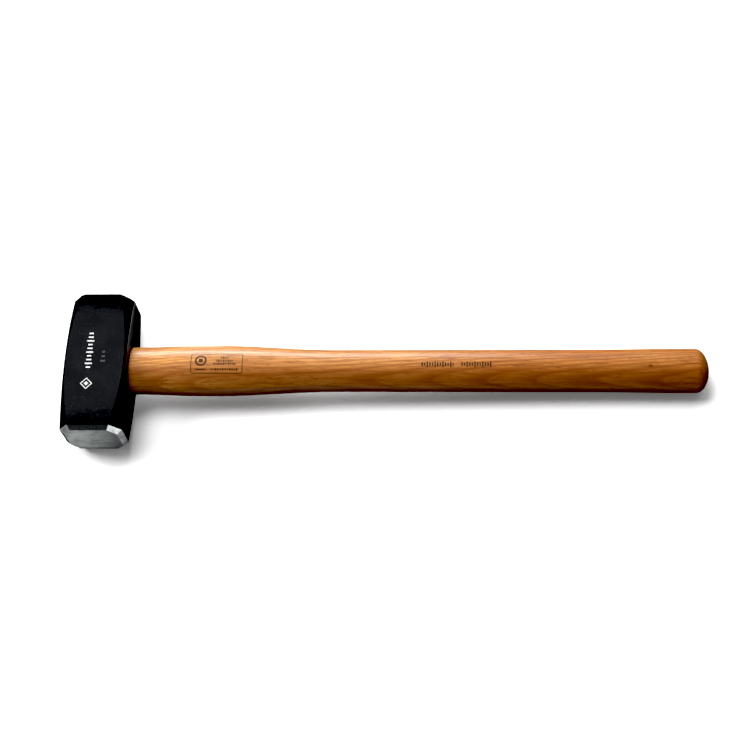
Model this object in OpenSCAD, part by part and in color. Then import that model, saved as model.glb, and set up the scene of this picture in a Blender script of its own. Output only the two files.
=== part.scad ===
// Long-handled stone hammer: a forged double-faced block head on a hickory
// handle, held by one wooden wedge and two barbed steel wedges.
// +X runs along the handle away from the head, +Y along the head from face to
// face, +Z out of the upper cheek. The origin lies midway along the whole
// hammer, on the plane of the lower cheek.

/* [Head] */
// Length from one striking face to the other
head_len = 140; // [110:1:160]
// Width of the head, measured along the handle
head_w = 59; // [50:1:66]
// Height of the head from cheek to cheek
head_h = 56; // [48:1:66]
// Leg of the long edge chamfers on the cheeks, at the ends of the head
edge_w = 10; // [6:0.5:13]
// Leg of the long edge chamfers on the sides, at the ends of the head
edge_h = 13; // [8:0.5:15]
// Size of the long edge chamfers at mid length, as a share of that at the ends
edge_mid_share = 0.18; // [0.1:0.02:0.5]
// Depth of the bevel round each striking face, along the head
bevel_depth = 4; // [2:0.5:6]
// Width of the bevel round each striking face, across the head
bevel_w = 4.9; // [3:0.1:6]

/* [Eye] */
// Long axis of the oval eye at its two mouths
eye_mouth = 40; // [38:1:42]
// Height of the oval eye at its two mouths
eye_mouth_h = 28; // [25:1:29]
// How much the eye narrows all round at its waist
eye_pinch = 1; // [0.5:0.1:1.5]

/* [Handle] */
// Length of the whole hammer, from the tenon's end to the grip's end
total_len = 600; // [580:10:900]
// Height of the handle as a share of its width
handle_ratio = 0.74; // [0.7:0.01:0.85]
// Width at the shoulder that butts against the head
shoulder_w = 46.4; // [45:0.2:48]
// Width at the swell past the head
swell_w = 49.4; // [46:0.2:54]
// Width along the grip
grip_w = 41; // [36:0.5:44]
// Width of the flare at the grip's end
flare_w = 42.6; // [38:0.2:50]
// Radius of the rounded shoulder edge
shoulder_r = 1.5; // [1:0.5:3]
// Depth of the rounded grip end
cap_depth = 12; // [3:0.5:15]
// How far the tenon stands proud of the head
tenon_proud = 2; // [0:0.5:4]

/* [Wedges] */
// Depth to which the wooden wedge is driven
wood_wedge_len = 46; // [30:1:54]
// Thickness of the wooden wedge at its driven end
wood_wedge_t = 6; // [4:0.5:8]
// Thickness of the wooden wedge at its tip
wood_wedge_tip = 1.2; // [0.8:0.1:2]
// Depth to which each steel wedge is driven
steel_wedge_len = 24; // [15:1:28]
// Width of each steel wedge
steel_wedge_w = 17; // [12:1:19]
// Thickness of each steel wedge at its driven end
steel_wedge_t = 3.4; // [2:0.2:4.6]
// Thickness of each steel wedge at its tip
steel_wedge_tip = 0.8; // [0.4:0.1:1.2]
// Height of the barbs on the steel wedges
barb = 0.4; // [0.2:0.1:0.8]
// Distance between the middles of the two steel wedges
steel_wedge_gap = 19; // [15:1:22]

/* [Hidden] */

// The head's centre in the whole hammer
head_x = -total_len / 2 + tenon_proud + head_w / 2;
mid_z = head_h / 2;

// Places along the handle, measured from the head's centre
side_x = head_w / 2;
tenon_x = -side_x - tenon_proud;
grip_end = total_len + tenon_x;

// Ends of the handle's blends, measured from the head's side
neck_end = 12;
swell_start = 62;
swell_end = 85;
grip_start = 192;
flare_start = 430;
flare_end = 505;

body_half = head_len / 2 - bevel_depth;
eye_centre = (eye_mouth - eye_mouth_h) / 2;
tenon_root = 6;
barbs = 4;
over = 1;
arc_steps = 4;
cap_steps = 7;
cap_angle = 78;
blend_steps = 7;
handle_sides = 40;

// A half-cosine ease from 0 to 1
function ease(t) = (1 - cos(180 * t)) / 2;

// Handle outline between two stations where its width eases from w0 to w1
function blend(x0, x1, w0, w1) = [
    for (i = [0 : blend_steps])
        [(w0 + (w1 - w0) * ease(i / blend_steps)) / 2, side_x + x0 + (x1 - x0) * i / blend_steps]
];

// Outline of the rounded edge where the shoulder meets the head
shoulder_edge = [
    for (i = [0 : arc_steps - 1])
        let (a = 90 * i / arc_steps)
        [shoulder_w / 2 - shoulder_r * (1 - sin(a)), side_x + shoulder_r * (1 - cos(a))]
];

// Outline of the rounded grip end, an elliptic arc that stops at a small flat
grip_cap = [
    for (i = [0 : cap_steps])
        let (a = cap_angle * i / cap_steps)
        [flare_w / 2 * cos(a), grip_end - cap_depth * (1 - sin(a) / sin(cap_angle))]
];

handle_outline = concat(
    shoulder_edge,
    blend(neck_end, swell_start, shoulder_w, swell_w),
    blend(swell_end, grip_start, swell_w, grip_w),
    blend(flare_start, flare_end, grip_w, flare_w),
    grip_cap
);

// Distance from the head's axis to a chamfer plane with the given legs
function chamfer_reach(leg_w, leg_h) =
    (head_w / 2 * leg_h + head_h / 2 * leg_w - leg_w * leg_h) / norm([leg_w, leg_h]);

edge_angle = atan2(edge_w, edge_h);
reach_end = chamfer_reach(edge_w, edge_h);
reach_mid = chamfer_reach(edge_w * edge_mid_share, edge_h * edge_mid_share);
edge_bow = reach_mid - reach_end;
edge_arc = (body_half * body_half + edge_bow * edge_bow) / (2 * edge_bow);

// Radius of the eye's round ends at a distance from the head's centre
function eye_r(x) = eye_mouth_h / 2 - eye_pinch * (1 - abs(x) / side_x);

// One oval ring of the handle at an outline point
function ring(point) = [
    for (i = [0 : handle_sides - 1])
        let (a = 360 * i / handle_sides)
        [point[1], point[0] * cos(a), point[0] * handle_ratio * sin(a)]
];

// Half of a steel wedge's thickness at a depth from its tip
function wedge_half(d) = (steel_wedge_tip + (steel_wedge_t - steel_wedge_tip) * d / steel_wedge_len) / 2;

module placed() {
    translate([head_x, 0, mid_z]) children();
}

// A bar along Y whose bevelled ends start at a half width; the bevels run on
// inwards so that a rounder shape inside the bar keeps its own outline
module bevelled_bar(half, run_on) {
    out = half + run_on * bevel_w;
    low = body_half - run_on * bevel_depth;
    in = half - bevel_w;
    tip = head_len / 2;
    linear_extrude(height = 3 * head_w, center = true)
        polygon([
            [out, low], [in, tip], [-in, tip], [-out, low],
            [-out, -low], [-in, -tip], [in, -tip], [out, -low]
        ]);
}

// A bar across one diagonal of the head, with bowed edges that run out wide
module chamfered_bar(side) {
    rotate([0, -side * edge_angle, 0]) intersection() {
        bevelled_bar(reach_end, 3);
        translate([reach_mid - edge_arc, 0, 0])
            cylinder(r = edge_arc, h = 3 * head_w, center = true, $fn = 1440);
        translate([edge_arc - reach_mid, 0, 0])
            cylinder(r = edge_arc, h = 3 * head_w, center = true, $fn = 1440);
    }
}

module head_blank() {
    intersection() {
        cube([head_w, head_len, head_h], center = true);
        bevelled_bar(head_w / 2, 0);
        rotate([0, 90, 0]) bevelled_bar(head_h / 2, 0);
        chamfered_bar(1);
        chamfered_bar(-1);
    }
}

// Half of the hour-glass shape that the eye and the tenon share: two cones
// with a tapered block between them
module eye_half(x) {
    rotate([0, 90 * sign(x), 0]) {
        for (y = [-eye_centre, eye_centre])
            translate([0, y, 0]) cylinder(r1 = eye_r(0), r2 = eye_r(x), h = abs(x), $fn = 180);
        rotate([90, 0, 0])
            linear_extrude(height = 2 * eye_centre, center = true)
                polygon([[-eye_r(0), 0], [eye_r(0), 0], [eye_r(x), abs(x)], [-eye_r(x), abs(x)]]);
    }
}

// The part of the handle inside the head, rooted some way into its body
module tenon(root) {
    eye_half(side_x + root);
    eye_half(tenon_x);
}

module handle_body() {
    rings = len(handle_outline);
    n = handle_sides;
    sides = [
        for (r = [0 : rings - 2], i = [0 : n - 1])
            [r * n + i, (r + 1) * n + i, (r + 1) * n + (i + 1) % n, r * n + (i + 1) % n]
    ];
    front = [for (i = [0 : n - 1]) i];
    back = [for (i = [n - 1 : -1 : 0]) (rings - 1) * n + i];
    polyhedron(points = [for (p = handle_outline) each ring(p)], faces = concat([front, back], sides));
}

// The tapered slot across the tenon that the wooden wedge fills
module wood_wedge_slot() {
    tip = tenon_x + wood_wedge_len;
    rotate([90, 0, 0])
        linear_extrude(height = 2 * eye_mouth, center = true)
            polygon([
                [tenon_x - over, wood_wedge_t / 2], [tenon_x, wood_wedge_t / 2], [tip, wood_wedge_tip / 2],
                [tip, -wood_wedge_tip / 2], [tenon_x, -wood_wedge_t / 2], [tenon_x - over, -wood_wedge_t / 2]
            ]);
}

// One barbed steel wedge, tapered along X and thin along Y
module steel_wedge(y) {
    step = steel_wedge_len / barbs;
    tip = tenon_x + steel_wedge_len;
    flank = [
        for (i = [0 : barbs - 1])
            each [[tip - i * step, wedge_half(i * step)], [tip - (i + 1) * step, wedge_half((i + 1) * step) + barb]]
    ];
    back = [for (i = [len(flank) - 1 : -1 : 0]) [flank[i][0], -flank[i][1]]];
    translate([0, y, 0])
        linear_extrude(height = steel_wedge_w, center = true) polygon(concat(flank, back));
}

module steel_wedges() {
    steel_wedge(-steel_wedge_gap / 2);
    steel_wedge(steel_wedge_gap / 2);
}

module head() {
    color([0.07, 0.07, 0.08]) placed() difference() {
        head_blank();
        eye_half(side_x + over);
        eye_half(-side_x - over);
    }
}

module handle() {
    color([0.76, 0.5, 0.26]) placed() {
        handle_body();
        difference() {
            tenon(tenon_root);
            wood_wedge_slot();
            steel_wedges();
        }
    }
}

module wooden_wedge() {
    color([0.86, 0.68, 0.45]) placed() difference() {
        intersection() {
            tenon(0);
            wood_wedge_slot();
        }
        steel_wedges();
    }
}

module steel_wedge_1() {
    color([0.55, 0.56, 0.58]) placed() steel_wedge(-steel_wedge_gap / 2);
}

module steel_wedge_2() {
    color([0.55, 0.56, 0.58]) placed() steel_wedge(steel_wedge_gap / 2);
}

head();
handle();
wooden_wedge();
steel_wedge_1();
steel_wedge_2();
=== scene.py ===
import math

import bmesh
import bpy
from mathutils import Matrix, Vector


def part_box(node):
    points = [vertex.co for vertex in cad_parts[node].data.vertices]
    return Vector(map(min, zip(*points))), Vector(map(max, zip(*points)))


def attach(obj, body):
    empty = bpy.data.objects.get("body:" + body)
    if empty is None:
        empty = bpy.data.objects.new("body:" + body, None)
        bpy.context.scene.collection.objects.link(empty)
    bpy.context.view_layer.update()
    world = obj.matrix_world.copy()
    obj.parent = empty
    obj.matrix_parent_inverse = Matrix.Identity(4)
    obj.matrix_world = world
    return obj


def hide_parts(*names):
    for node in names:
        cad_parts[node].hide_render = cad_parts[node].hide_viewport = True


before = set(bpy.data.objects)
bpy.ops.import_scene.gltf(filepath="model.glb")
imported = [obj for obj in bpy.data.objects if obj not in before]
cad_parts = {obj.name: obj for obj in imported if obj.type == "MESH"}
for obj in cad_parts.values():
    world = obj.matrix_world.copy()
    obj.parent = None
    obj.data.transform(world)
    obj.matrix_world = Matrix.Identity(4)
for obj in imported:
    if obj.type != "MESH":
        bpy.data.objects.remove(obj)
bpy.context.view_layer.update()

MM = 0.001

# ---------------------------------------------------------------- sizes (metres)

HEAD_LOW, HEAD_HIGH = [Vector(corner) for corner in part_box("head")]
HANDLE_LOW, HANDLE_HIGH = [Vector(corner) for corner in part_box("handle")]

HEAD_SIZE = HEAD_HIGH - HEAD_LOW
HEAD_MID = (HEAD_LOW + HEAD_HIGH) / 2
AXIS_Z = HEAD_MID.z
SIDE_X = HEAD_HIGH.x
TENON_X = HANDLE_LOW.x
GRIP_END = HANDLE_HIGH.x

# Long edge chamfers of the head: their legs at the ends, and the share at mid length
EDGE_W = 10 * MM
EDGE_H = 13 * MM
EDGE_MID_SHARE = 0.18
BEVEL_DEPTH = 4 * MM
BEVEL_W = 4.9 * MM
SIDE_ROUND = 1.8 * MM
CHEEK_ROUND = 0.6 * MM
RIM_ROUND = 0.3 * MM
BODY_HALF = HEAD_SIZE.y / 2 - BEVEL_DEPTH

# The oval eye: two round ends a little apart, pinched at the waist
EYE_HALF_H = 14 * MM
EYE_SPREAD = 6 * MM
EYE_PINCH = 1 * MM
EYE_LIP = 0.8 * MM

# Handle widths, and where they change, measured from the head's side
SHOULDER_W = 46.4 * MM
SWELL_W = HANDLE_HIGH.y - HANDLE_LOW.y
GRIP_W = 41 * MM
FLARE_W = 42.6 * MM
HEIGHT_RATIO = 0.74
SHOULDER_ROUND = 1.5 * MM
CAP_DEPTH = 12 * MM
CAP_ANGLE = math.radians(78)
NECK_END = 12 * MM
SWELL_START = 62 * MM
SWELL_END = 85 * MM
GRIP_START = 192 * MM
FLARE_START = 430 * MM
FLARE_END = 505 * MM
TENON_ROOT = 6 * MM

# Wedges, measured from the tenon's end; a steel wedge is as thick as its widest barb
WOOD_WEDGE_LEN = 46 * MM
WOOD_WEDGE_T = 6 * MM
WOOD_WEDGE_TIP = 1.2 * MM
STEEL_WEDGE_LEN = 24 * MM
STEEL_WEDGE_W = 17 * MM
STEEL_WEDGE_T = 4.2 * MM
STEEL_WEDGE_TIP = 0.8 * MM
STEEL_WEDGE_GAP = 19 * MM

# The four corners of a wedge's section
CORNERS = ((1, 1), (-1, 1), (-1, -1), (1, -1))
SLOT_OVERSHOOT = 2 * MM

# How strongly the rings of the handle's mesh crowd toward its two ends
RING_CROWDING = 0.93

# ---------------------------------------------------------------- camera and stage

CAMERA_PLACE = (0.0773, -0.5577, 1.2771)
CAMERA_TILT = math.radians(23.90)
CAMERA_TURN = math.radians(3.59)
CAMERA_LENS = 70.2

FLOOR_HALF = 4.0
WORLD_LIGHT = 0.14
WORLD_GLOSS = 0.04
BLACK_POINT = 0.024
PANEL_TINT = (0.96, 1.0, 1.07)

# ---------------------------------------------------------------- colours


def tone(red, green, blue):
    """A colour given as screen values from 0 to 255, as Blender's linear colour."""
    def linear(value):
        share = value / 255
        if share <= 0.04045:
            return share / 12.92
        return ((share + 0.055) / 1.055) ** 2.4
    return (linear(red), linear(green), linear(blue), 1.0)


# Hickory; a pair goes from the head's end to the grip
EARLY_WOOD = (tone(170, 120, 64), tone(156, 99, 46))
LATE_WOOD = (tone(134, 82, 38), tone(114, 62, 28))
STREAK_BROWN = tone(106, 56, 24)
PORE_BROWN = tone(74, 36, 14)
# Painted shade: a darker, redder brown laid down the handle's front side, away from the lights
FRONT_SHADE_BROWN = tone(104, 52, 28)
KNOT_BROWN = tone(78, 34, 12)
END_GRAIN_BROWN = tone(70, 36, 16)
HANDLE_INK = tone(36, 26, 18)

# The wooden wedge
WEDGE_EARLY_WOOD = tone(206, 168, 116)
WEDGE_LATE_WOOD = tone(150, 104, 58)
WEDGE_PORES = tone(84, 54, 28)

# The head: enamel where the haze is thin and where it is thick
ENAMEL_BLACK = (tone(13, 13, 14), tone(21, 21, 23))
DUST_GREY = tone(120, 124, 130)
CHEEK_PAINT = tone(226, 228, 226)

# Steel, bright and dull
GROUND_STEEL = (tone(216, 222, 221), tone(136, 142, 143))
WEDGE_STEEL = (tone(150, 150, 152), tone(86, 84, 84))

# The floor as the camera sees it, in the light it throws back, and in gloss
FLOOR_SEEN = tone(240, 240, 240)
FLOOR_IN_BOUNCE = tone(126, 106, 94)
FLOOR_IN_GLOSS = tone(20, 20, 20)

# How brightly each patch of the floor glows, seen only in gloss: painted reflections on the head
NEAR_GLOW_LEFT = 0.45
NEAR_GLOW_RIGHT = 0.16
NEAR_GLOW_PAST_RIM = 0.3
FAR_GLOW = 1.15
LEFT_GLOW = 0.045
REAR_GLOW = 0.25
SIDE_GLOW = 2.6
SIDE_GLOW_MIDDLE = (-0.185, 0.07, 0.0)


# ---------------------------------------------------------------- node wiring


class Wiring:
    """Adds nodes to a tree and joins them; a value may be a socket or a constant."""

    def __init__(self, tree):
        self.tree = tree

    def feed(self, socket, value):
        if isinstance(value, bpy.types.NodeSocket):
            self.tree.links.new(value, socket)
        elif value is not None:
            socket.default_value = value

    def add(self, kind, inputs=None, **settings):
        node = self.tree.nodes.new(kind)
        for name, value in settings.items():
            setattr(node, name, value)
        for name, value in (inputs or {}).items():
            self.feed(node.inputs[name], value)
        return node

    def math(self, operation, *values, clamp=False):
        node = self.add("ShaderNodeMath", operation=operation, use_clamp=clamp)
        for socket, value in zip(node.inputs, values):
            self.feed(socket, value)
        return node.outputs[0]

    def vector(self, operation, *values):
        node = self.add("ShaderNodeVectorMath", operation=operation)
        for socket, value in zip(node.inputs, values):
            self.feed(socket, value)
        return node.outputs["Value"] if operation == "LENGTH" else node.outputs["Vector"]

    def ease(self, value, low, high, to_low=0.0, to_high=1.0, smooth=True):
        style = "SMOOTHSTEP" if smooth else "LINEAR"
        node = self.add("ShaderNodeMapRange", interpolation_type=style)
        for name, number in (("Value", value), ("From Min", low), ("From Max", high),
                             ("To Min", to_low), ("To Max", to_high)):
            self.feed(node.inputs[name], number)
        return node.outputs["Result"]

    def split(self, vector):
        return self.add("ShaderNodeSeparateXYZ", {"Vector": vector}).outputs

    def join(self, x, y, z):
        return self.add("ShaderNodeCombineXYZ", {"X": x, "Y": y, "Z": z}).outputs["Vector"]

    def noise(self, vector, scale, detail=4.0, rough=0.55, bend=0.0):
        node = self.add("ShaderNodeTexNoise", {
            "Vector": vector, "Scale": scale, "Detail": detail, "Roughness": rough, "Distortion": bend})
        return node.outputs["Fac"]

    def blend(self, share, first, second):
        """Mixes two colours, through the colour sockets that a Mix node has at these places."""
        node = self.add("ShaderNodeMix", data_type="RGBA")
        self.feed(node.inputs["Factor"], share)
        self.feed(node.inputs[6], first)
        self.feed(node.inputs[7], second)
        return node.outputs[2]

    def group(self, tree, **inputs):
        node = self.add("ShaderNodeGroup", node_tree=tree)
        for name, value in inputs.items():
            self.feed(node.inputs[name.replace("_", " ")], value)
        return node.outputs


def new_group(name, inputs, outputs):
    """A shader node group with named sockets: (name, kind, default) and (name, kind)."""
    tree = bpy.data.node_groups.new(name, "ShaderNodeTree")
    for label, kind, default in inputs:
        socket = tree.interface.new_socket(label, in_out="INPUT", socket_type="NodeSocket" + kind)
        socket.default_value = default
    for label, kind in outputs:
        tree.interface.new_socket(label, in_out="OUTPUT", socket_type="NodeSocket" + kind)
    wire = Wiring(tree)
    entry = wire.add("NodeGroupInput").outputs
    exit_node = wire.add("NodeGroupOutput")
    return tree, wire, entry, exit_node.inputs


def new_material(name):
    material = bpy.data.materials.new(name)
    material.use_nodes = True
    wire = Wiring(material.node_tree)
    shader = material.node_tree.nodes["Principled BSDF"]
    place = wire.add("ShaderNodeTexCoord").outputs["Object"]
    return material, wire, shader, place


# ---------------------------------------------------------------- shared effects


def make_wood_figure():
    """Growth rings round a slanting pith, with fibre streaks and open pores."""
    tree, wire, entry, leave = new_group(
        "wood_figure",
        [("Place", "Vector", (0, 0, 0)), ("Pith", "Vector", (0, 0, 0)), ("Slope", "Float", 0.0),
         ("Ring Width", "Float", 0.003), ("Wander", "Float", 0.004)],
        [("Late Wood", "Float"), ("Streaks", "Float"), ("Pores", "Float"), ("Relief", "Float")])
    along = wire.split(entry["Place"])
    slow = wire.noise(wire.vector("MULTIPLY", entry["Place"], (5.0, 22.0, 22.0)), 1.0, 2.0)
    drift = wire.math("MULTIPLY", wire.math("SUBTRACT", slow, 0.5), entry["Wander"])
    pith = wire.split(entry["Pith"])
    lean = wire.math("MULTIPLY", wire.math("SUBTRACT", along["X"], pith["X"]), entry["Slope"])
    off_y = wire.math("SUBTRACT", along["Y"], pith["Y"])
    off_z = wire.math("SUBTRACT", wire.math("SUBTRACT", along["Z"], pith["Z"]), lean)
    radius = wire.vector("LENGTH", wire.join(0.0, off_y, off_z))
    rings = wire.math("DIVIDE", wire.math("ADD", radius, drift), entry["Ring Width"])
    phase = wire.math("FRACT", rings)
    rise = wire.ease(phase, 0.25, 0.86)
    fall = wire.ease(phase, 0.9, 1.0)
    late = wire.math("MULTIPLY", rise, wire.math("SUBTRACT", 1.0, fall))
    fibre = wire.vector("MULTIPLY", entry["Place"], (26.0, 620.0, 620.0))
    streaks = wire.noise(fibre, 1.0, 5.0, 0.6)
    vessel = wire.vector("MULTIPLY", entry["Place"], (120.0, 1500.0, 1500.0))
    raw = wire.noise(vessel, 1.0, 2.0, 0.5)
    in_early_wood = wire.ease(phase, 0.55, 0.1, 0.35, 1.0)
    pores = wire.math("MULTIPLY", wire.ease(raw, 0.56, 0.66), in_early_wood)
    relief = wire.math("SUBTRACT", wire.math("MULTIPLY", streaks, 0.4), pores)
    wire.feed(leave["Late Wood"], late)
    wire.feed(leave["Streaks"], streaks)
    wire.feed(leave["Pores"], pores)
    wire.feed(leave["Relief"], relief)
    return tree


def make_grind_lines():
    """Fine parallel scratches left by a grinding belt, with cloudy patches."""
    tree, wire, entry, leave = new_group(
        "grind_lines",
        [("Place", "Vector", (0, 0, 0)), ("Stretch", "Vector", (1, 1, 1)),
         ("Patch Scale", "Float", 60.0)],
        [("Lines", "Float"), ("Patches", "Float")])
    stretched = wire.vector("MULTIPLY", entry["Place"], entry["Stretch"])
    fine = wire.noise(stretched, 1.0, 6.0, 0.7)
    broad = wire.noise(wire.vector("MULTIPLY", stretched, (0.25, 0.25, 0.25)), 1.0, 3.0, 0.6)
    lines = wire.math("ADD", wire.math("MULTIPLY", fine, 0.6), wire.math("MULTIPLY", broad, 0.4))
    wire.feed(leave["Lines"], lines)
    wire.feed(leave["Patches"], wire.noise(entry["Place"], entry["Patch Scale"], 3.0, 0.5, 0.6))
    return tree


def make_specks():
    """Scattered small specks, as of dust or grit under a finish."""
    tree, wire, entry, leave = new_group(
        "specks",
        [("Place", "Vector", (0, 0, 0)), ("Scale", "Float", 300.0), ("Size", "Float", 0.2),
         ("Amount", "Float", 0.3)],
        [("Mask", "Float")])
    cells = wire.add("ShaderNodeTexVoronoi", {"Vector": entry["Place"], "Scale": entry["Scale"]})
    dot = wire.ease(cells.outputs["Distance"], entry["Size"], 0.0)
    chosen = wire.math("LESS_THAN", wire.split(cells.outputs["Color"])["X"], entry["Amount"])
    wire.feed(leave["Mask"], wire.math("MULTIPLY", dot, chosen))
    return tree


def make_plate():
    """A printed rectangle with round corners, seen flat; a line width makes it a frame."""
    tree, wire, entry, leave = new_group(
        "printed_plate",
        [("Place", "Vector", (0, 0, 0)), ("Centre", "Vector", (0, 0, 0)),
         ("Half Size", "Vector", (1, 1, 0)), ("Corner", "Float", 0.0), ("Line", "Float", 1.0)],
        [("Mask", "Float")])
    offset = wire.vector("SUBTRACT", entry["Place"], entry["Centre"])
    away = wire.split(wire.vector("ABSOLUTE", offset))
    half = wire.split(entry["Half Size"])
    out_x = wire.math("ADD", wire.math("SUBTRACT", away["X"], half["X"]), entry["Corner"])
    out_y = wire.math("ADD", wire.math("SUBTRACT", away["Y"], half["Y"]), entry["Corner"])
    beyond = wire.join(wire.math("MAXIMUM", out_x, 0.0), wire.math("MAXIMUM", out_y, 0.0), 0.0)
    inside = wire.math("MINIMUM", wire.math("MAXIMUM", out_x, out_y), 0.0)
    from_core = wire.math("ADD", wire.vector("LENGTH", beyond), inside)
    distance = wire.math("SUBTRACT", from_core, entry["Corner"])
    soft = 0.12 * MM
    fill = wire.ease(distance, soft, -soft)
    hollow = wire.ease(wire.math("ADD", distance, entry["Line"]), -soft, soft)
    wire.feed(leave["Mask"], wire.math("MULTIPLY", fill, hollow))
    return tree


def make_tick_row():
    """A row of small printed ticks along X, in three heights that repeat."""
    tree, wire, entry, leave = new_group(
        "tick_row",
        [("Place", "Vector", (0, 0, 0)), ("Centre", "Vector", (0, 0, 0)),
         ("Half Length", "Float", 0.01), ("Half Height", "Float", 0.002),
         ("Pitch", "Float", 0.002), ("Fill", "Float", 0.5)],
        [("Mask", "Float")])
    offset = wire.split(wire.vector("SUBTRACT", entry["Place"], entry["Centre"]))
    count = wire.math("ADD", wire.math("DIVIDE", offset["X"], entry["Pitch"]), 100.0)
    tick = wire.math("LESS_THAN", wire.math("FRACT", count), entry["Fill"])
    step = wire.math("FRACT", wire.math("DIVIDE", wire.math("FLOOR", count), 3.0))
    tall = wire.math("MULTIPLY", entry["Half Height"], wire.ease(step, 0.0, 0.5, 1.0, 0.6, smooth=False))
    in_height = wire.math("LESS_THAN", wire.math("ABSOLUTE", offset["Y"]), tall)
    in_row = wire.math("LESS_THAN", wire.math("ABSOLUTE", offset["X"]), entry["Half Length"])
    wire.feed(leave["Mask"], wire.math("MULTIPLY", tick, wire.math("MULTIPLY", in_height, in_row)))
    return tree


WOOD_FIGURE = make_wood_figure()
GRIND_LINES = make_grind_lines()
SPECKS = make_specks()
PLATE = make_plate()
TICK_ROW = make_tick_row()


def raise_surface(wire, shader, height, strength, distance):
    """Feeds a height to a shader's normal."""
    bump = wire.add("ShaderNodeBump", {"Strength": strength, "Distance": distance, "Height": height})
    wire.feed(shader.inputs["Normal"], bump.outputs["Normal"])


def layered(wire, masks):
    """The union of printed masks."""
    total = masks[0]
    for mask in masks[1:]:
        total = wire.math("MAXIMUM", total, mask)
    return total


# ---------------------------------------------------------------- materials


def hickory_colour(wire, place, figure):
    """Rings, streaks and pores, redder toward the grip, with painted shade down the front side: a darker,
    redder band.
    """
    where = wire.split(place)
    cloud = wire.noise(wire.vector("MULTIPLY", place, (6, 45, 45)), 1.0, 3.0)
    toward_grip = wire.ease(where["X"], -0.2, 0.2)
    patchy = wire.ease(cloud, 0.3, 0.7, -0.35, 0.35)
    red = wire.math("ADD", toward_grip, patchy, clamp=True)
    early = wire.blend(red, *EARLY_WOOD)
    late = wire.blend(red, *LATE_WOOD)
    ringed = wire.blend(wire.math("MULTIPLY", figure["Late Wood"], 0.7), early, late)
    streaky = wire.blend(wire.ease(figure["Streaks"], 0.42, 0.64, 0.0, 0.58), ringed, STREAK_BROWN)
    porous = wire.blend(wire.math("MULTIPLY", figure["Pores"], 0.75), streaky, PORE_BROWN)
    # Painted shade: the front side, turned from the lights, is darkened and reddened in a band along the
    # handle
    across = wire.math("ADD", where["Y"], wire.math("MULTIPLY", cloud, 6 * MM))
    inner_edge = wire.ease(across, 5 * MM, -6 * MM)
    outer_edge = wire.ease(across, -18 * MM, -10 * MM, 0.45, 1.0)
    front_shade = wire.math("MULTIPLY", inner_edge, outer_edge)
    return wire.blend(wire.math("MULTIPLY", front_shade, 0.5), porous, FRONT_SHADE_BROWN)


def facing_along(wire):
    """How squarely the surface faces along the handle, from 0 to 1."""
    normal = wire.add("ShaderNodeNewGeometry").outputs["Normal"]
    return wire.math("ABSOLUTE", wire.split(normal)["X"])


def hickory_material():
    """Hickory under clear lacquer, which is thinner where the hands hold it."""
    material, wire, shader, place = new_material("lacquered_hickory")
    figure = wire.group(
        WOOD_FIGURE, Place=place, Pith=(-0.02, 0.05, -0.042), Slope=-0.05,
        Ring_Width=0.0023, Wander=0.006)
    wood = hickory_colour(wire, place, figure)
    knotty = wire.blend(wire.math("MULTIPLY", knot(wire, place), 0.8), wood, KNOT_BROWN)
    end_grain = wire.ease(facing_along(wire), 0.86, 0.98)
    sealed = wire.blend(wire.math("MULTIPLY", end_grain, 0.6), knotty, END_GRAIN_BROWN)
    ink = wire.math("MULTIPLY", handle_print(wire, place), 0.94)
    wire.feed(shader.inputs["Base Color"], wire.blend(ink, sealed, HANDLE_INK))
    rough = wire.math("ADD", wire.math("MULTIPLY", figure["Pores"], 0.2), 0.45)
    wire.feed(shader.inputs["Roughness"], rough)
    shader.inputs["Specular IOR Level"].default_value = 0.25
    lacquer = wire.ease(wire.split(place)["X"], -0.15, 0.25, 0.45, 0.22)
    wire.feed(shader.inputs["Coat Weight"], lacquer)
    shader.inputs["Coat Roughness"].default_value = 0.28
    raise_surface(wire, shader, figure["Relief"], 0.25, 0.12 * MM)
    return material


def knot(wire, place):
    """One pin knot near the grip's end."""
    offset = wire.vector("SUBTRACT", place, (GRIP_END - 54.5 * MM, -1.7 * MM, AXIS_Z + 15 * MM))
    away = wire.vector("LENGTH", wire.vector("MULTIPLY", offset, (0.6, 1.0, 0.2)))
    return wire.ease(away, 1.9 * MM, 0.7 * MM)


def printed_plate(wire, place, centre, half_size, corner=0.0, line=1.0):
    return wire.group(
        PLATE, Place=place, Centre=centre, Half_Size=half_size, Corner=corner, Line=line)["Mask"]


def printed_ticks(wire, place, centre, half_length, half_height, pitch, fill):
    return wire.group(
        TICK_ROW, Place=place, Centre=centre, Half_Length=half_length, Half_Height=half_height,
        Pitch=pitch, Fill=fill)["Mask"]


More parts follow.
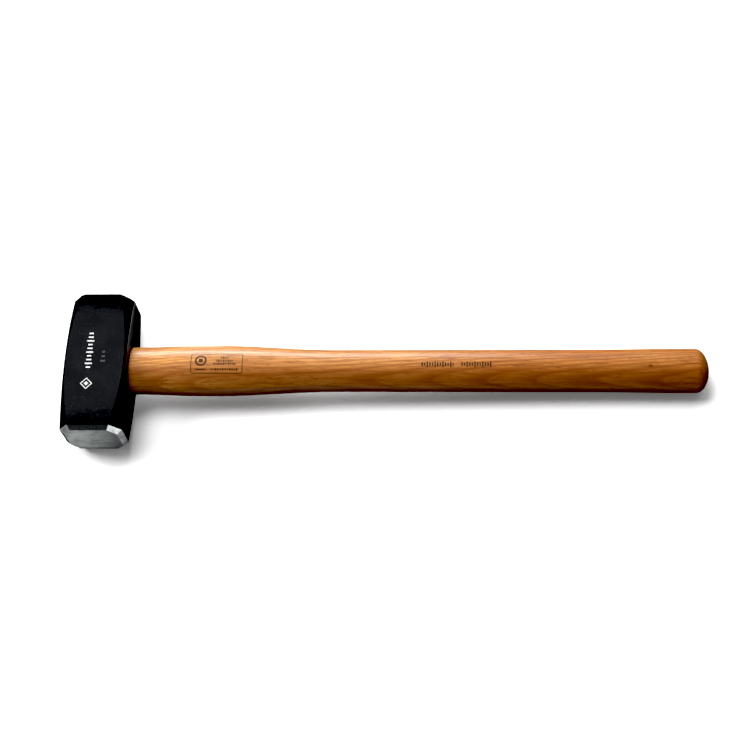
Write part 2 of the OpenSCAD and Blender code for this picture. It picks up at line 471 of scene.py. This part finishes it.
def handle_print(wire, place):
    """Generic dark print on the handle's upper side: a framed panel and two rows of ticks."""
    panel_x = SIDE_X + 83.5 * MM
    row_x = SIDE_X + 307 * MM
    emblem = (panel_x - 15 * MM, 2.6 * MM, 0)
    bar = (panel_x - 15 * MM, -6.2 * MM, 0)
    masks = [
        printed_plate(wire, place, (panel_x, 0, 0), (24.5 * MM, 10.2 * MM, 0), 2 * MM, 0.75 * MM),
        printed_plate(wire, place, emblem, (5.6 * MM, 5.6 * MM, 0), 5.6 * MM, 1.8 * MM),
        printed_plate(wire, place, emblem, (1.9 * MM, 1.9 * MM, 0), 0.4 * MM),
        printed_plate(wire, place, bar, (4.6 * MM, 0.6 * MM, 0)),
    ]
    for height, half, pitch in ((5.6, 4, 2.0), (2.2, 8, 1.6), (-0.9, 10.5, 1.6), (-6.2, 12.5, 2.2)):
        centre = (panel_x + 7.5 * MM, height * MM, 0)
        masks.append(printed_ticks(wire, place, centre, half * MM, 1.15 * MM, pitch * MM, 0.74))
    for offset, half in ((-18.2, 15.4), (18.6, 14.2)):
        centre = (row_x + offset * MM, 0, 0)
        masks.append(printed_ticks(wire, place, centre, half * MM, 2.9 * MM, 2.4 * MM, 0.6))
    above = wire.math("GREATER_THAN", wire.split(place)["Z"], AXIS_Z)
    return wire.math("MULTIPLY", layered(wire, masks), above)


def wedge_wood_material():
    """Sawn pale wood, its grain turned a little about the handle's axis."""
    material, wire, shader, place = new_material("wedge_wood")
    turned = wire.add("ShaderNodeMapping", {"Vector": place, "Rotation": (0.4, 0.0, 0.0)})
    figure = wire.group(
        WOOD_FIGURE, Place=turned.outputs["Vector"], Pith=(0, 0.05, 0.02), Slope=0.1,
        Ring_Width=0.0016, Wander=0.004)
    late = wire.math("MULTIPLY", figure["Late Wood"], 0.6)
    wood = wire.blend(late, WEDGE_EARLY_WOOD, WEDGE_LATE_WOOD)
    pores = wire.math("MULTIPLY", figure["Pores"], 0.6)
    wire.feed(shader.inputs["Base Color"], wire.blend(pores, wood, WEDGE_PORES))
    wire.feed(shader.inputs["Roughness"], wire.ease(figure["Streaks"], 0.3, 0.8, 0.55, 0.8))
    raise_surface(wire, shader, figure["Relief"], 0.5, 0.2 * MM)
    return material


def enamel_material():
    """Gloss black enamel with haze and dust, duller on the two sides that face along the handle."""
    material, wire, shader, place = new_material("black_enamel")
    dust = wire.group(SPECKS, Place=place, Scale=420.0, Size=0.28, Amount=0.22)["Mask"]
    haze = wire.noise(place, 45.0, 5.0, 0.6)
    base = wire.blend(wire.ease(haze, 0.35, 0.75), *ENAMEL_BLACK)
    dusty = wire.blend(wire.math("MULTIPLY", dust, 0.12), base, DUST_GREY)
    marked = wire.blend(head_print(wire, place), dusty, CHEEK_PAINT)
    wire.feed(shader.inputs["Base Color"], marked)
    gloss = wire.ease(haze, 0.3, 0.8, 0.04, 0.08)
    dull_sides = wire.ease(facing_along(wire), 0.9, 0.99, 0.0, 0.42)
    wire.feed(shader.inputs["Roughness"], wire.math("ADD", gloss, dull_sides))
    shader.inputs["Specular IOR Level"].default_value = 0.24
    peel = wire.noise(place, 650.0, 2.0)
    forged = wire.noise(place, 38.0, 3.0, 0.5)
    height = wire.math("ADD", wire.math("MULTIPLY", peel, 0.05), forged)
    raise_surface(wire, shader, height, 0.3, 0.3 * MM)
    return material


def head_print(wire, place):
    """Generic pale print on the upper cheek: a lozenge, a row of ticks and three dim bars."""
    where = wire.split(place)
    turned = wire.join(where["Y"], wire.math("MULTIPLY", where["X"], -1.0), 0.0)
    row = (10 * MM, -(HEAD_MID.x - 5.4 * MM), 0)
    dim_row = (1.6 * MM, -(HEAD_MID.x + 7.8 * MM), 0)
    lozenge = (-24.9 * MM, -(HEAD_MID.x - 5.4 * MM), 0)
    corners = wire.split(wire.vector("SUBTRACT", turned, lozenge))
    rising = wire.math("ADD", corners["X"], corners["Y"])
    falling = wire.math("SUBTRACT", corners["X"], corners["Y"])
    diagonal = wire.join(
        wire.math("MULTIPLY", rising, math.sqrt(0.5)), wire.math("MULTIPLY", falling, math.sqrt(0.5)), 0.0)
    bright = layered(wire, [
        printed_plate(wire, diagonal, (0, 0, 0), (4.1 * MM, 4.1 * MM, 0), 0.6 * MM, 0.8 * MM),
        printed_plate(wire, diagonal, (0, 0, 0), (1.5 * MM, 1.5 * MM, 0)),
        printed_ticks(wire, turned, row, 19.2 * MM, 3.3 * MM, 3.84 * MM, 0.36)])
    dim = printed_ticks(wire, turned, dim_row, 7 * MM, 2.2 * MM, 4.6 * MM, 0.4)
    worn = wire.ease(wire.noise(place, 500.0, 3.0), 0.3, 0.5, 0.55, 1.0)
    mark = wire.math("ADD", wire.math("MULTIPLY", bright, 0.75), wire.math("MULTIPLY", dim, 0.06))
    above = wire.math("GREATER_THAN", where["Z"], HEAD_HIGH.z - 1 * MM)
    return wire.math("MULTIPLY", wire.math("MULTIPLY", mark, worn), above)


def steel_material(name, stretch, bright, dull, smooth, rough):
    """Bare ground steel; its scratches run along the axis that stretch is smallest on."""
    material, wire, shader, place = new_material(name)
    ground = wire.group(GRIND_LINES, Place=place, Stretch=stretch, Patch_Scale=70.0)
    lines = wire.math("MULTIPLY", ground["Lines"], 0.6)
    patches = wire.math("MULTIPLY", ground["Patches"], 0.6)
    shade = wire.math("ADD", lines, patches)
    wire.feed(shader.inputs["Base Color"], wire.blend(wire.ease(shade, 0.35, 0.75), dull, bright))
    wire.feed(shader.inputs["Roughness"], wire.ease(shade, 0.35, 0.75, rough, smooth))
    shader.inputs["Metallic"].default_value = 1.0
    raise_surface(wire, shader, ground["Lines"], 0.35, 0.08 * MM)
    return material


def floor_material():
    """A plain pale floor that is dark in gloss and bounce, with a few patches that glow only in the gloss,
    as painted reflections.
    """
    material, wire, shader, place = new_material("pale_floor")
    path = wire.add("ShaderNodeLightPath").outputs
    bounce = wire.blend(path["Is Diffuse Ray"], FLOOR_SEEN, FLOOR_IN_BOUNCE)
    wire.feed(shader.inputs["Base Color"], wire.blend(path["Is Glossy Ray"], bounce, FLOOR_IN_GLOSS))
    shader.inputs["Roughness"].default_value = 0.9
    shader.inputs["Specular IOR Level"].default_value = 0.0
    shader.inputs["Emission Color"].default_value = (1, 1, 1, 1)
    # Painted reflections: patches of the floor glow, but only for glossy rays
    gloss_glow = wire.math("MULTIPLY", gloss_glow_patches(wire, place), path["Is Glossy Ray"])
    paler_far_off = wire.ease(wire.vector("LENGTH", place), 0.7, 2.6, 0.12, 0.95)
    lift = wire.math("MULTIPLY", path["Is Camera Ray"], paler_far_off)
    wire.feed(shader.inputs["Emission Strength"], wire.math("ADD", gloss_glow, lift))
    return material


def gloss_glow_patches(wire, place):
    """How brightly the floor glows in gloss only, as painted reflections: before, beside and behind the
    head.
    """
    where = wire.split(place)
    x = where["X"]
    y = where["Y"]
    rim = HEAD_HIGH.x - 6 * MM
    fading = wire.ease(x, HEAD_LOW.x, rim, NEAR_GLOW_LEFT, NEAR_GLOW_RIGHT)
    past_rim = wire.ease(x, rim, rim + 8 * MM, 0.0, NEAR_GLOW_PAST_RIM)
    before_face = wire.ease(y, HEAD_LOW.y - 1 * MM, HEAD_LOW.y - 5 * MM)
    near = wire.math("MULTIPLY", before_face, wire.math("ADD", fading, past_rim))
    far = wire.math("MULTIPLY", wire.ease(y, -0.11, -0.16), wire.ease(x, -0.22, -0.18, 0.0, FAR_GLOW))
    rear = wire.math("MULTIPLY", wire.ease(y, 0.15, 0.19), wire.ease(x, 0.0, -0.12, 0.0, REAR_GLOW))
    left = wire.ease(x, HEAD_LOW.x - 4 * MM, HEAD_LOW.x - 20 * MM, 0.0, LEFT_GLOW)
    apart = wire.split(wire.vector("ABSOLUTE", wire.vector("SUBTRACT", place, SIDE_GLOW_MIDDLE)))
    beside = wire.math("MULTIPLY", wire.ease(apart["X"], 0.024, 0.016), wire.ease(apart["Y"], 0.042, 0.028))
    side = wire.math("MULTIPLY", beside, SIDE_GLOW)
    broad = wire.math("ADD", wire.math("ADD", near, far), rear)
    return wire.math("MAXIMUM", broad, wire.math("MAXIMUM", left, side))


# ---------------------------------------------------------------- mesh helpers


def mesh_object(name, build):
    """An object at the origin from a bmesh, with outward normals."""
    bmesh.ops.recalc_face_normals(build, faces=build.faces)
    mesh = bpy.data.meshes.new(name)
    build.to_mesh(mesh)
    build.free()
    piece = bpy.data.objects.new(name, mesh)
    bpy.context.scene.collection.objects.link(piece)
    return piece


def loft(name, rings):
    """A closed skin over rings with equal counts of points, capped at both ends."""
    build = bmesh.new()
    loops = [[build.verts.new(point) for point in ring] for ring in rings]
    for near, far in zip(loops, loops[1:]):
        for i in range(len(near)):
            j = (i + 1) % len(near)
            build.faces.new((near[i], near[j], far[j], far[i]))
    build.faces.new(loops[0])
    build.faces.new(loops[-1])
    return mesh_object(name, build)


def settle(piece):
    """Turns a piece and its modifiers into a plain mesh with no modifiers left."""
    bpy.context.view_layer.update()
    graph = bpy.context.evaluated_depsgraph_get()
    mesh = bpy.data.meshes.new_from_object(piece.evaluated_get(graph), depsgraph=graph)
    old = piece.data
    piece.modifiers.clear()
    piece.data = mesh
    bpy.data.meshes.remove(old)
    mesh.name = piece.name


def drop(piece):
    mesh = piece.data
    bpy.data.objects.remove(piece)
    bpy.data.meshes.remove(mesh)


def carve(piece, tool, operation="DIFFERENCE"):
    cut = piece.modifiers.new("carve", "BOOLEAN")
    cut.object = tool
    cut.operation = operation
    cut.solver = "EXACT"
    settle(piece)
    drop(tool)


def smooth_shade(piece, angle=30):
    """Smooth shading that stays flat on flat faces and sharp past an angle."""
    piece.data.shade_smooth()
    piece.data.set_sharp_from_angle(angle=math.radians(angle))
    weigh = piece.modifiers.new("weigh", "WEIGHTED_NORMAL")
    weigh.keep_sharp = True
    settle(piece)


def finish_piece(piece, node):
    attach(piece, "root")
    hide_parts(node)


# ---------------------------------------------------------------- head


def chamfer_reach(leg_w, leg_h):
    """How far a chamfer plane with these legs lies from the head's axis."""
    top = HEAD_SIZE.x / 2 * leg_h + HEAD_SIZE.z / 2 * leg_w - leg_w * leg_h
    return top / math.hypot(leg_w, leg_h)


def head_section(y):
    """The head's eight-sided section at a distance from its middle."""
    reach_end = chamfer_reach(EDGE_W, EDGE_H)
    reach_mid = chamfer_reach(EDGE_W * EDGE_MID_SHARE, EDGE_H * EDGE_MID_SHARE)
    bow = reach_mid - reach_end
    arc = (BODY_HALF ** 2 + bow ** 2) / (2 * bow)
    body_y = min(abs(y), BODY_HALF)
    inset = BEVEL_W * (abs(y) - body_y) / BEVEL_DEPTH
    reach = reach_mid - arc + math.sqrt(arc ** 2 - body_y ** 2) - inset
    half_w = HEAD_SIZE.x / 2 - inset
    half_h = HEAD_SIZE.z / 2 - inset
    slope = math.atan2(EDGE_W, EDGE_H)
    side_z = (reach - math.cos(slope) * half_w) / math.sin(slope)
    top_x = (reach - math.sin(slope) * half_h) / math.cos(slope)
    quarter = [(half_w, side_z), (top_x, half_h)]
    points = quarter + [(-x, z) for x, z in reversed(quarter)]
    points += [(-x, -z) for x, z in points]
    return [(HEAD_MID.x + x, HEAD_MID.y + y, HEAD_MID.z + z) for x, z in points]


def weigh_edges(piece):
    """Marks the head's edges: roundest beside the eye, tighter on the cheeks and face rims."""
    build = bmesh.new()
    build.from_mesh(piece.data)
    layer = build.edges.layers.float.new("bevel_weight_edge")
    for edge in build.edges:
        if edge.calc_face_angle(0) < math.radians(3):
            continue
        lengthwise = abs(edge.verts[0].co.y - edge.verts[1].co.y)
        on_rim = min(abs(v.co.y - HEAD_MID.y) for v in edge.verts) >= BODY_HALF - 0.01 * MM
        on_side = all(abs(abs(v.co.x - HEAD_MID.x) - HEAD_SIZE.x / 2) < 0.01 * MM for v in edge.verts)
        rounding = RIM_ROUND
        if lengthwise > 0.5 * edge.calc_length() and not on_rim:
            rounding = SIDE_ROUND if on_side else CHEEK_ROUND
        edge[layer] = rounding / SIDE_ROUND
    build.to_mesh(piece.data)
    build.free()


def eye_ring(x, grow=0.0, points=28):
    """The eye's oval outline at a place along the handle's axis."""
    from_mid = abs(x - HEAD_MID.x)
    radius = EYE_HALF_H - EYE_PINCH * (1 - from_mid / (HEAD_SIZE.x / 2)) + grow
    ring = []
    for centre, start in ((EYE_SPREAD, -90), (-EYE_SPREAD, 90)):
        for i in range(points + 1):
            angle = math.radians(start + 180 * i / points)
            ring.append((x, centre + radius * math.cos(angle), AXIS_Z + radius * math.sin(angle)))
    return ring


def eye_tool():
    """The solid that cuts the eye, flared where it breaks out of the two sides."""
    out = 3 * MM
    low, high = HEAD_LOW.x, HEAD_HIGH.x
    return loft("eye_tool", [
        eye_ring(low - out, out + EYE_LIP), eye_ring(low + EYE_LIP), eye_ring(HEAD_MID.x),
        eye_ring(high - EYE_LIP), eye_ring(high + out, out + EYE_LIP)])


def paint_faces(piece, enamel, steel):
    """Bare ground metal on both striking faces and on the front bevel, enamel elsewhere."""
    piece.data.materials.clear()
    piece.data.materials.append(enamel)
    piece.data.materials.append(steel)
    for face in piece.data.polygons:
        y = face.center.y - HEAD_MID.y
        front = y < -(BODY_HALF + 0.1 * MM)
        rear = y > HEAD_SIZE.y / 2 - 0.05 * MM
        if front or rear:
            face.material_index = 1


def make_head(enamel, steel):
    inner = 20
    stations = [BODY_HALF * (2 * i / inner - 1) for i in range(inner + 1)]
    stations = [-HEAD_SIZE.y / 2] + stations + [HEAD_SIZE.y / 2]
    head = loft("forged_head", [head_section(y) for y in stations])
    weigh_edges(head)
    soften = head.modifiers.new("soften", "BEVEL")
    soften.limit_method = "WEIGHT"
    soften.width = SIDE_ROUND
    soften.segments = 4
    soften.use_clamp_overlap = True
    settle(head)
    paint_faces(head, enamel, steel)
    carve(head, eye_tool())
    smooth_shade(head, angle=22)
    finish_piece(head, "head")
    return head


# ---------------------------------------------------------------- handle


def turned_handle_tree(material):
    """Geometry Nodes for the handle's body: a drum whose rings follow the width rule."""
    tree = bpy.data.node_groups.new("turned_handle", "GeometryNodeTree")
    sizes = (
        ("Start", SIDE_X), ("End", GRIP_END), ("Axis Height", AXIS_Z),
        ("Shoulder Width", SHOULDER_W), ("Swell Width", SWELL_W), ("Grip Width", GRIP_W),
        ("Flare Width", FLARE_W), ("Height Ratio", HEIGHT_RATIO),
        ("Shoulder Round", SHOULDER_ROUND), ("Cap Depth", CAP_DEPTH))
    for label, size in sizes:
        socket = tree.interface.new_socket(label, in_out="INPUT", socket_type="NodeSocketFloat")
        socket.default_value = size
    for label, count in (("Sides", 96), ("Rings", 320)):
        socket = tree.interface.new_socket(label, in_out="INPUT", socket_type="NodeSocketInt")
        socket.default_value = count
    tree.interface.new_socket("Geometry", in_out="OUTPUT", socket_type="NodeSocketGeometry")
    wire = Wiring(tree)
    given = wire.add("NodeGroupInput").outputs
    drum = wire.add("GeometryNodeMeshCylinder", {
        "Vertices": given["Sides"], "Side Segments": given["Rings"], "Radius": 1.0, "Depth": 1.0})
    here = wire.split(wire.add("GeometryNodeInputPosition").outputs["Position"])
    share = wire.math("ADD", here["Z"], 0.5)
    wave = wire.math("SINE", wire.math("MULTIPLY", share, math.tau))
    crowded = wire.math("ADD", share, wire.math("MULTIPLY", wave, -RING_CROWDING / math.tau))
    length = wire.math("SUBTRACT", given["End"], given["Start"])
    x = wire.math("ADD", given["Start"], wire.math("MULTIPLY", length, crowded))
    half = handle_half_width(wire, given, x)
    y = wire.math("MULTIPLY", half, here["Y"])
    rise = wire.math("MULTIPLY", wire.math("MULTIPLY", half, here["X"]), given["Height Ratio"])
    z = wire.math("ADD", rise, given["Axis Height"])
    moved = wire.add("GeometryNodeSetPosition", {
        "Geometry": drum.outputs["Mesh"], "Position": wire.join(x, y, z)})
    real = wire.add("GeometryNodeRealizeInstances", {"Geometry": moved.outputs["Geometry"]})
    dressed = wire.add("GeometryNodeSetMaterial", {
        "Geometry": real.outputs["Geometry"], "Material": material})
    wire.feed(wire.add("NodeGroupOutput").inputs["Geometry"], dressed.outputs["Geometry"])
    return tree


def handle_half_width(wire, given, x):
    """Half the handle's width at a place along it."""
    past = wire.math("SUBTRACT", x, given["Start"])
    width = given["Shoulder Width"]
    for before, after, start, end in (
            ("Shoulder Width", "Swell Width", NECK_END, SWELL_START),
            ("Swell Width", "Grip Width", SWELL_END, GRIP_START),
            ("Grip Width", "Flare Width", FLARE_START, FLARE_END)):
        step = wire.math("SUBTRACT", given[after], given[before])
        width = wire.math("ADD", width, wire.math("MULTIPLY", step, wire.ease(past, start, end)))
    into = wire.math("ADD", wire.math("SUBTRACT", x, given["End"]), given["Cap Depth"])
    share = wire.math("DIVIDE", into, given["Cap Depth"], clamp=True)
    depth = wire.math("MULTIPLY", share, math.sin(CAP_ANGLE))
    cap = wire.math("SQRT", wire.math("SUBTRACT", 1.0, wire.math("MULTIPLY", depth, depth)))
    short = wire.math("MAXIMUM", wire.math("SUBTRACT", given["Shoulder Round"], past), 0.0)
    square = wire.math("MULTIPLY", given["Shoulder Round"], given["Shoulder Round"])
    root = wire.math("SQRT", wire.math("SUBTRACT", square, wire.math("MULTIPLY", short, short)))
    inset = wire.math("SUBTRACT", given["Shoulder Round"], root)
    capped = wire.math("MULTIPLY", wire.math("MULTIPLY", width, 0.5), cap)
    return wire.math("SUBTRACT", capped, inset)


def wedge_stations(thick, tip, length, out):
    """Place and thickness at a wedge's driven end and tip, and once more past the driven end."""
    stations = [(TENON_X, thick), (TENON_X + length, tip)]
    if out:
        stations.insert(0, (TENON_X - out, thick))
    return stations


def wood_wedge_rings(out=0.0):
    """Sections of the wooden wedge, or of its slot with an overshoot past the driven end."""
    half_y = 30 * MM
    return [
        [(x, side * half_y, AXIS_Z + up * thick / 2) for side, up in CORNERS]
        for x, thick in wedge_stations(WOOD_WEDGE_T, WOOD_WEDGE_TIP, WOOD_WEDGE_LEN, out)]


def steel_wedge_rings(y, out=0.0):
    """Sections of a steel wedge, or of its slot with an overshoot past the driven end."""
    return [
        [(x, y + side * thick / 2, AXIS_Z + up * STEEL_WEDGE_W / 2) for side, up in CORNERS]
        for x, thick in wedge_stations(STEEL_WEDGE_T, STEEL_WEDGE_TIP, STEEL_WEDGE_LEN, out)]


def cut_steel_slots(piece):
    for side in (-1, 1):
        carve(piece, loft("steel_slot", steel_wedge_rings(side * STEEL_WEDGE_GAP / 2, SLOT_OVERSHOOT)))


def tenon_block(name):
    """The tenon's full shape, its driven end softened by sanding."""
    soft = 0.5 * MM
    return loft(name, [
        eye_ring(TENON_X, -soft), eye_ring(TENON_X + soft), eye_ring(HEAD_LOW.x), eye_ring(HEAD_MID.x),
        eye_ring(SIDE_X), eye_ring(SIDE_X + TENON_ROOT)])


def make_handle(wood):
    tree = turned_handle_tree(wood)
    handle = bpy.data.objects.new("hickory_handle", bpy.data.meshes.new("hickory_handle"))
    bpy.context.scene.collection.objects.link(handle)
    turn = handle.modifiers.new("turned_handle", "NODES")
    turn.node_group = tree
    settle(handle)
    tenon = tenon_block("tenon")
    carve(tenon, loft("wood_slot", wood_wedge_rings(SLOT_OVERSHOOT)))
    cut_steel_slots(tenon)
    carve(handle, tenon, "UNION")
    handle.data.materials.clear()
    handle.data.materials.append(wood)
    smooth_shade(handle, angle=35)
    finish_piece(handle, "handle")


# ---------------------------------------------------------------- wedges


def make_wooden_wedge(wood):
    wedge = loft("wooden_wedge_piece", wood_wedge_rings())
    carve(wedge, tenon_block("tenon_limit"), "INTERSECT")
    cut_steel_slots(wedge)
    wedge.data.materials.clear()
    wedge.data.materials.append(wood)
    smooth_shade(wedge, angle=30)
    finish_piece(wedge, "wooden_wedge")


def make_steel_wedge(number, steel):
    side = -1 if number == 1 else 1
    wedge = loft("steel_wedge_piece_%d" % number, steel_wedge_rings(side * STEEL_WEDGE_GAP / 2))
    soften = wedge.modifiers.new("soften", "BEVEL")
    soften.width = 0.25 * MM
    soften.segments = 2
    settle(wedge)
    wedge.data.materials.clear()
    wedge.data.materials.append(steel)
    smooth_shade(wedge, angle=50)
    finish_piece(wedge, "steel_wedge_%d" % number)


# ---------------------------------------------------------------- stage


def make_camera():
    data = bpy.data.cameras.new("camera")
    data.lens = CAMERA_LENS
    data.clip_end = 20
    camera = bpy.data.objects.new("camera", data)
    camera.rotation_mode = "ZYX"
    camera.location = CAMERA_PLACE
    camera.rotation_euler = (CAMERA_TILT, CAMERA_TURN, 0.0)
    bpy.context.scene.collection.objects.link(camera)
    bpy.context.scene.camera = camera


def make_floor():
    """The floor leans so that it touches the cheek's edge and the flared grip end."""
    edge_x = SIDE_X - EDGE_W * EDGE_MID_SHARE
    touch_x = GRIP_END - CAP_DEPTH - 3 * MM
    rise = AXIS_Z - HEIGHT_RATIO * FLARE_W / 2
    slope = rise / (touch_x - edge_x)
    half = FLOOR_HALF
    gap = 0.05 * MM
    build = bmesh.new()
    corners = [(-half, -half), (half, -half), (half, half), (-half, half)]
    build.faces.new([build.verts.new((x, y, (x - edge_x) * slope - gap)) for x, y in corners])
    floor = mesh_object("floor", build)
    floor.data.materials.append(floor_material())


def make_light(name, place, aim, size, power, in_gloss=True, in_diffuse=True):
    data = bpy.data.lights.new(name, "AREA")
    data.shape = "RECTANGLE"
    data.size, data.size_y = size
    data.energy = power
    lamp = bpy.data.objects.new(name, data)
    lamp.location = place
    lamp.rotation_euler = (Vector(aim) - Vector(place)).to_track_quat("-Z", "Y").to_euler()
    lamp.visible_glossy = in_gloss
    lamp.visible_diffuse = in_diffuse
    bpy.context.scene.collection.objects.link(lamp)
    return lamp


def keep_off(lamp, piece):
    """Keeps a light from falling on one piece, which would mirror it."""
    spared = bpy.data.collections.new("spared_by_" + lamp.name)
    spared.objects.link(piece)
    spared.collection_objects[0].light_linking.link_state = "EXCLUDE"
    lamp.light_linking.receiver_collection = spared


def make_lights(head):
    """Soft light from behind and from the left, and one panel that only shows in the gloss."""
    make_light(
        "main_softbox", place=(-0.55, 0.54, 1.72), aim=(-0.05, 0.0, 0.0), size=(1.4, 0.75),
        power=38.0, in_gloss=False)
    make_light(
        "rear_fill", place=(0.2, 1.1, 0.65), aim=(0.1, 0.0, 0.0), size=(1.5, 0.5),
        power=15.0, in_gloss=False)
    rear = make_light(
        "rear_softbox", place=(-0.3, 1.05, 0.42), aim=(-0.12, 0.0, 0.03), size=(0.9, 0.3), power=15.0)
    keep_off(rear, head)
    make_light(
        "left_softbox", place=(-1.3, 0.3, 0.75), aim=HEAD_MID, size=(0.5, 0.5),
        power=22.0, in_gloss=False)
    panel = make_light(
        "cheek_panel", place=(-0.65, 0.8385, 1.9), aim=(-0.65, 0.8385, 0.0), size=(1.9, 0.283),
        power=1.95, in_diffuse=False)
    panel.data.color = PANEL_TINT


def make_world():
    """Pale behind everything the camera sees, dim for the light that falls on the hammer."""
    world = bpy.data.worlds.new("studio")
    world.use_nodes = True
    wire = Wiring(world.node_tree)
    path = wire.add("ShaderNodeLightPath").outputs
    lit = wire.ease(path["Is Glossy Ray"], 0.0, 1.0, WORLD_LIGHT, WORLD_GLOSS, smooth=False)
    sky = world.node_tree.nodes["Background"]
    sky.inputs["Color"].default_value = (1, 1, 1, 1)
    wire.feed(sky.inputs["Strength"], wire.math("MAXIMUM", lit, path["Is Camera Ray"]))
    bpy.context.scene.world = world


def set_exposure():
    """Plain colours, with the darkest tones crushed to black."""
    view = bpy.context.scene.view_settings
    view.view_transform = "Standard"
    view.exposure = 0.0
    view.use_curve_mapping = True
    view.curve_mapping.black_level = (BLACK_POINT, BLACK_POINT, BLACK_POINT)


# ---------------------------------------------------------------- build

make_camera()
make_floor()
make_world()
set_exposure()

enamel = enamel_material()
ground_steel = steel_material("ground_steel", (60.0, 1400.0, 1400.0), *GROUND_STEEL, smooth=0.2, rough=0.4)
wedge_steel = steel_material("wedge_steel", (900.0, 300.0, 120.0), *WEDGE_STEEL, smooth=0.35, rough=0.6)
hickory = hickory_material()
wedge_wood = wedge_wood_material()

head = make_head(enamel, ground_steel)
make_lights(head)
make_handle(hickory)
make_wooden_wedge(wedge_wood)
make_steel_wedge(1, wedge_steel)
make_steel_wedge(2, wedge_steel)
